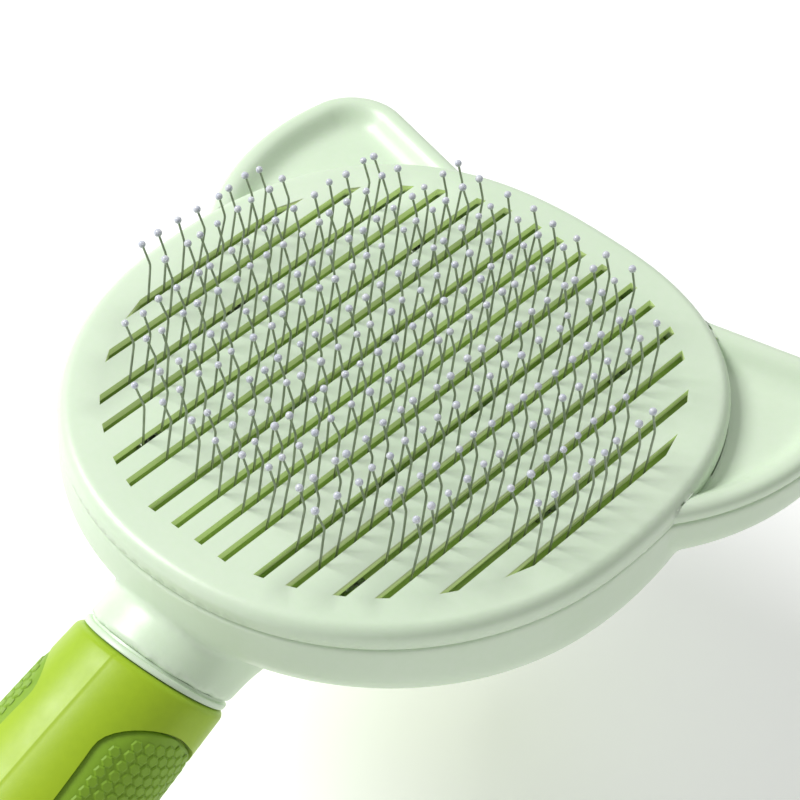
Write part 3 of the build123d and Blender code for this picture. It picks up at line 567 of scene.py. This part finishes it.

# ---- fixings inside -------------------------------------------------------------------------
# Small zinc-plated screws, and wound springs, which shorten in the real brush as the face is pushed out but
# keep their modelled shape here.
for node in ("plate_screws", "shell_screws"):
    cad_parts[node].data.materials.clear()
    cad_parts[node].data.materials.append(drawn_steel)
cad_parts["push_carrier"].data.materials.clear()
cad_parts["push_carrier"].data.materials.append(mint)

springs = joined_copy("return_springs", "wound_springs", 45.0)
springs.data.materials.append(drawn_steel)
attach(springs, "frame")
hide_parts("return_springs")
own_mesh(springs)

# ---- push button ----------------------------------------------------------------------------
# Big lime thumb button in the middle of the back, snapped to the carrier inside.
button = joined_copy("back_button", "push_button", 32.0)
# The lime here carries the same faint painted glow.
button.data.materials.append(lime)
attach(button, "pusher")
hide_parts("back_button")

# ---- neck ring ------------------------------------------------------------------------------
# Pale green end of the handle's core: a thin ring beside the shadow groove at the neck, and the
# tube that runs on under the grip.
HANDLE_TILT = math.radians(24.0)
HANDLE_START = Vector((-0.0486, 0.0, 0.0161))
HANDLE_ALONG = Vector((-math.cos(HANDLE_TILT), 0.0, -math.sin(HANDLE_TILT)))
HANDLE_UP = Vector((-math.sin(HANDLE_TILT), 0.0, math.cos(HANDLE_TILT)))
END_SLANT, SLANT_FADE = math.tan(math.radians(14.5)), 16.0


def handle_point(along, across, up):
    """Place in metres from millimetres along, across and above the handle's axis."""
    return HANDLE_START + (HANDLE_ALONG * along + Vector((0, across, 0)) + HANDLE_UP * up) * 0.001


def handle_tube(name, rings, seam=0.0, sides=112):
    """Closed tube through elliptical rings (along, half width, half height), outside then bore.

    Rings near the neck lean back with its slanted end.
    """
    angles = [2 * math.pi * k / sides for k in range(sides)]
    top = math.pi / 2
    if seam:
        angles = [a for a in angles if abs(a - top) > 0.03]
        angles = sorted(angles + [top + d for d in (-0.022, -0.01, 0.01, 0.022)])
    points = []
    for along, half_w, half_h in rings:
        slant = END_SLANT * min(max(1 - along / SLANT_FADE, 0.0), 1.0)
        for a in angles:
            ridge = seam if seam and abs(a - top) < 0.015 and half_w > 9.5 else 0.0
            up = (half_h + ridge) * math.sin(a)
            points.append(handle_point(along + slant * up, half_w * math.cos(a), up))
    count = len(angles)
    faces = [tuple(v % len(points) for v in face) for face in bands(len(rings) + 1, count)]
    tube_piece = closed_piece(name, points, faces)
    tube_piece.data.set_sharp_from_angle(angle=math.radians(38))
    return tube_piece


neck_ring = handle_tube("neck_ring", [
    (-2.1, 11.0, 9.9), (-1.72, 11.0, 9.9), (-1.7, 11.4, 10.3), (-1.6, 11.62, 10.52), (-1.4, 11.7, 10.6),
    (-0.95, 11.7, 10.6), (-0.8, 11.6, 10.5), (-0.75, 11.3, 10.2), (-0.75, 8.55, 7.55), (84.0, 8.55, 7.55),
    (84.0, 5.1, 5.1), (-2.1, 5.1, 5.1),
])
neck_ring.data.materials.append(mint)
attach(neck_ring, "frame")
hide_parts("handle_core")

# ---- grip sleeve ----------------------------------------------------------------------------
# Soft lime rubber moulded over the core, a little fuller in the palm, with a fine mould line
# along the top and a shallow bed on each side for a studded pad.
SLEEVE_L, PAD_DEPTH, PAD_GROOVE = 84.0, 1.3, 0.38
PAD_START, PAD_END, PAD_W, PAD_CORNER = 5.8, 66.0, 19.5, 8.5
SLEEVE_W = [(-6.0, 12.0), (22.0, 13.2), (44.0, 13.5), (66.0, 12.4), (84.0, 11.0)]
SLEEVE_FLAT = 0.9


def between(table, at):
    """Smooth value from a table of (place, value) pairs."""
    k = max(i for i in range(len(table) - 1) if table[i][0] <= at or i == 0)
    (x0, y0), (x1, y1) = table[k], table[k + 1]
    before = table[k - 1] if k else (2 * x0 - x1, 2 * y0 - y1)
    after = table[k + 2] if k + 2 < len(table) else (2 * x1 - x0, 2 * y1 - y0)
    m0 = (y1 - before[1]) / (x1 - before[0]) * (x1 - x0)
    m1 = (after[1] - y0) / (after[0] - x0) * (x1 - x0)
    t = (at - x0) / (x1 - x0)
    return (
        (2 * t ** 3 - 3 * t ** 2 + 1) * y0 + (t ** 3 - 2 * t ** 2 + t) * m0
        + (-2 * t ** 3 + 3 * t ** 2) * y1 + (t ** 3 - t ** 2) * m1
    )


def soft_rubber(name, light, dark, roughness):
    """Soft-touch rubber: faint mottling, matt bloom and a very fine orange-peel skin."""
    paint = moulded_plastic(name, light, dark, roughness, grain=0.03)
    shader = paint.node_tree.nodes["Principled BSDF"]
    shader.inputs["Coat Weight"].default_value = 0.0
    shader.inputs["Sheen Weight"].default_value = 0.12
    shader.inputs["Sheen Roughness"].default_value = 0.45
    return paint


lime_grip = soft_rubber("lime_grip", (0.41, 0.60, 0.012), (0.34, 0.52, 0.010), 0.42)
skin = [(0.05, 0.95), (0.2, 0.6), (0.45, 0.3), (0.8, 0.08), (1.2, 0.0)]
SLEEVE_START = -0.65
stations = [SLEEVE_START + at for at, cut in skin] + [2.0 + 2.0 * k for k in range(41)]
stations = [at for at in stations if at < SLEEVE_L - 1.3] + [SLEEVE_L - at for at, cut in skin[::-1]]
cuts = {SLEEVE_START + at: cut for at, cut in skin} | {SLEEVE_L - at: cut for at, cut in skin}
sleeve_rings = [(SLEEVE_START + 0.02, 8.62, 7.62)]
for at in stations:
    half = between(SLEEVE_W, at) - cuts.get(at, 0.0)
    sleeve_rings.append((at, half, between(SLEEVE_W, at) * SLEEVE_FLAT - cuts.get(at, 0.0)))
sleeve_rings.append((SLEEVE_L - 0.02, 8.62, 7.62))
sleeve = handle_tube("grip_sleeve", sleeve_rings, seam=0.045)


def pad_block(name, side, grow_by, top, bottom, edge=0.0):
    """Curved slab on one side of the sleeve with the pad's outline, top and bottom from the skin."""
    half_l, half_w = (PAD_END - PAD_START) / 2 + grow_by, PAD_W / 2 + grow_by
    corner = PAD_CORNER + grow_by
    turns = [math.pi / 2 * k / 12 for k in range(13)]
    columns = [-half_l + corner * (1 - math.sin(a)) for a in turns[::-1]]
    columns += [-half_l + corner + (2 * half_l - 2 * corner) * k / 24 for k in range(1, 24)]
    columns += [half_l - corner * (1 - math.sin(a)) for a in turns]
    rows = [-1 + 2 * k / 28 for k in range(29)]
    layers = []
    for depth in (top, bottom):
        layer = []
        for u in columns:
            past = max(abs(u) - (half_l - corner), 0.0)
            reach = half_w - corner + math.sqrt(max(corner ** 2 - past ** 2, 0.0))
            for t in rows:
                at, up = (PAD_START + PAD_END) / 2 + u, reach * t
                sink = edge * max(abs(t) ** 24, (abs(u) / half_l) ** 60) if depth == top else 0.0
                half = between(SLEEVE_W, at)
                wide, tall = half + depth - sink, half * SLEEVE_FLAT + depth - sink
                layer.append(handle_point(at, side * wide * math.sqrt(1 - (up / tall) ** 2), up))
        layers.append(layer)
    across, down = len(rows), len(columns)
    points, faces, lift = layers[0] + layers[1], [], len(layers[0])
    for c in range(down - 1):
        for r in range(across - 1):
            a, b = c * across + r, (c + 1) * across + r
            faces.append((a, b, b + 1, a + 1))
            faces.append((a + lift, a + 1 + lift, b + 1 + lift, b + lift))
    rim = list(range(across)) + [c * across + across - 1 for c in range(1, down)]
    rim += [(down - 1) * across + r for r in range(across - 2, -1, -1)]
    rim += [c * across for c in range(down - 2, 0, -1)]
    for a, b in zip(rim, rim[1:] + rim[:1]):
        faces.append((a, b, b + lift, a + lift))
    block = closed_piece(name, points, faces)
    block.data.set_sharp_from_angle(angle=math.radians(38))
    return block


for side in (1, -1):
    bed = pad_block("pad_bed", side, PAD_GROOVE, 1.5, -PAD_DEPTH - 0.05)
    carve(sleeve, bed, "DIFFERENCE")
sleeve.data.set_sharp_from_angle(angle=math.radians(38))
sleeve.data.materials.clear()
sleeve.data.materials.append(lime_grip)
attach(sleeve, "frame")
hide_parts("handle_sleeve")

# ---- grip pads ------------------------------------------------------------------------------
# Studded rubber inlay in the bed on each side of the grip: close rows of low six-sided studs.
STUD_PITCH, STUD_MARGIN, STUD_SINK = 1.65, 0.75, 0.12
pad_rubber = soft_rubber("pad_rubber", (0.26, 0.46, 0.018), (0.21, 0.39, 0.015), 0.52)
stud_tree, start, end = new_tree(
    "six_sided_studs",
    ("Foot_Radius", "NodeSocketFloat"),
    ("Top_Radius", "NodeSocketFloat"),
    ("Height", "NodeSocketFloat"),
    ("Rubber", "NodeSocketMaterial"),
)
to_points = stud_tree.nodes.new("GeometryNodeMeshToPoints")
stud = stud_tree.nodes.new("GeometryNodeMeshCone")
stud.inputs["Vertices"].default_value = 6
outward = stud_tree.nodes.new("GeometryNodeInputNamedAttribute")
outward.data_type = "FLOAT_VECTOR"
outward.inputs["Name"].default_value = "outward"
aim = stud_tree.nodes.new("FunctionNodeAlignRotationToVector")
aim.axis = "Z"
on_points = stud_tree.nodes.new("GeometryNodeInstanceOnPoints")
real = stud_tree.nodes.new("GeometryNodeRealizeInstances")
paint = stud_tree.nodes.new("GeometryNodeSetMaterial")
stud_tree.links.new(start.outputs["Geometry"], to_points.inputs["Mesh"])
stud_tree.links.new(start.outputs["Foot_Radius"], stud.inputs["Radius Bottom"])
stud_tree.links.new(start.outputs["Top_Radius"], stud.inputs["Radius Top"])
stud_tree.links.new(start.outputs["Height"], stud.inputs["Depth"])
stud_tree.links.new(outward.outputs["Attribute"], aim.inputs["Vector"])
stud_tree.links.new(to_points.outputs["Points"], on_points.inputs["Points"])
stud_tree.links.new(stud.outputs["Mesh"], on_points.inputs["Instance"])
stud_tree.links.new(aim.outputs["Rotation"], on_points.inputs["Rotation"])
stud_tree.links.new(on_points.outputs["Instances"], real.inputs["Geometry"])
stud_tree.links.new(real.outputs["Geometry"], paint.inputs["Geometry"])
stud_tree.links.new(start.outputs["Rubber"], paint.inputs["Material"])
stud_tree.links.new(paint.outputs["Geometry"], end.inputs["Geometry"])

for side, name in ((1, "left"), (-1, "right")):
    pad = pad_block("grip_pad_" + name + "_base", side, 0.0, -STUD_SINK, -PAD_DEPTH, edge=0.35)
    pad.data.materials.append(pad_rubber)
    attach(pad, "frame")
    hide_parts("grip_pad_" + name)
    spots, normals = [], []
    half_l, half_w = (PAD_END - PAD_START) / 2 - STUD_MARGIN, PAD_W / 2 - STUD_MARGIN
    corner = PAD_CORNER - STUD_MARGIN
    line = STUD_PITCH * math.sqrt(3) / 2
    for r in range(-6, 7):
        for c in range(-19, 20):
            u, up = (c + (0.5 if r % 2 else 0.0)) * STUD_PITCH, r * line
            past = max(abs(u) - (half_l - corner), 0.0)
            if past > corner or abs(up) > half_w - corner + math.sqrt(corner ** 2 - past ** 2):
                continue
            at = (PAD_START + PAD_END) / 2 + u
            half = between(SLEEVE_W, at)
            tall = half * SLEEVE_FLAT
            out = side * half * math.sqrt(1 - (up / tall) ** 2)
            spots.append(handle_point(at, out * (1 - STUD_SINK / half), up * (1 - STUD_SINK / tall)))
            normals.append((Vector((0, out / half ** 2, 0)) + HANDLE_UP * (up / tall ** 2)).normalized())
    stud_mesh = bpy.data.meshes.new("grip_studs_" + name)
    stud_mesh.from_pydata(spots, [], [])
    outward_data = stud_mesh.attributes.new("outward", "FLOAT_VECTOR", "POINT")
    for k, normal in enumerate(normals):
        outward_data.data[k].vector = normal
    studs = grow(
        link_piece("grip_studs_" + name, stud_mesh), stud_tree,
        Foot_Radius=0.00096, Top_Radius=0.00066, Height=0.00020, Rubber=pad_rubber,
    )
    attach(studs, "frame")

# ---- tail -----------------------------------------------------------------------------------
# Pale green end piece plugged into the core, rounded off and pierced for hanging the brush up.
TAIL_W = [(84.0, 10.9), (89.5, 10.5), (94.5, 8.8), (97.6, 6.0), (99.0, 3.0)]
TAIL_H = [(84.0, 9.8), (89.5, 9.3), (94.5, 7.6), (97.6, 5.0), (99.0, 2.4)]
HOLE_AT, HOLE_R, HOLE_REACH, HOLE_FLARE_FROM = 91.0, 3.2, 14, 7.0
HOLE_STEPS, HOLE_SIDES = 57, 48
tail_rings = [(84.03, 5.05, 5.05), (84.03, 10.5, 9.4), (84.12, 10.75, 9.65), (84.4, 10.9, 9.8)]
tail_rings += [(at, between(TAIL_W, at), between(TAIL_H, at)) for at in [85 + 0.5 * k for k in range(25)]]
tail_rings += [(at, between(TAIL_W, at), between(TAIL_H, at)) for at in (97.4, 97.8, 98.2, 98.5, 98.8, 99.0)]
tail_rings += [(99.1, 2.2, 1.8), (99.16, 1.2, 1.0), (99.18, 0.02, 0.02), (84.03, 0.02, 0.02)]
tail = handle_tube("tail_end", tail_rings)
hole_points = []
for step in range(HOLE_STEPS):
    up = -HOLE_REACH + 2 * HOLE_REACH * step / (HOLE_STEPS - 1)
    radius = HOLE_R + 0.12 * max(0.0, abs(up) - HOLE_FLARE_FROM) ** 2
    for k in range(HOLE_SIDES):
        a = 2 * math.pi * k / HOLE_SIDES
        hole_points.append(handle_point(HOLE_AT + radius * math.cos(a), radius * math.sin(a), up))
hole_ends = [tuple(range(HOLE_SIDES)), tuple(range((HOLE_STEPS - 1) * HOLE_SIDES, HOLE_STEPS * HOLE_SIDES))]
hole_cutter = closed_piece("hang_hole", hole_points, bands(HOLE_STEPS, HOLE_SIDES) + hole_ends)
carve(tail, hole_cutter, "DIFFERENCE")
tail.data.set_sharp_from_angle(angle=math.radians(42))
tail.data.materials.clear()
tail.data.materials.append(mint)
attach(tail, "frame")
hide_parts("tail")
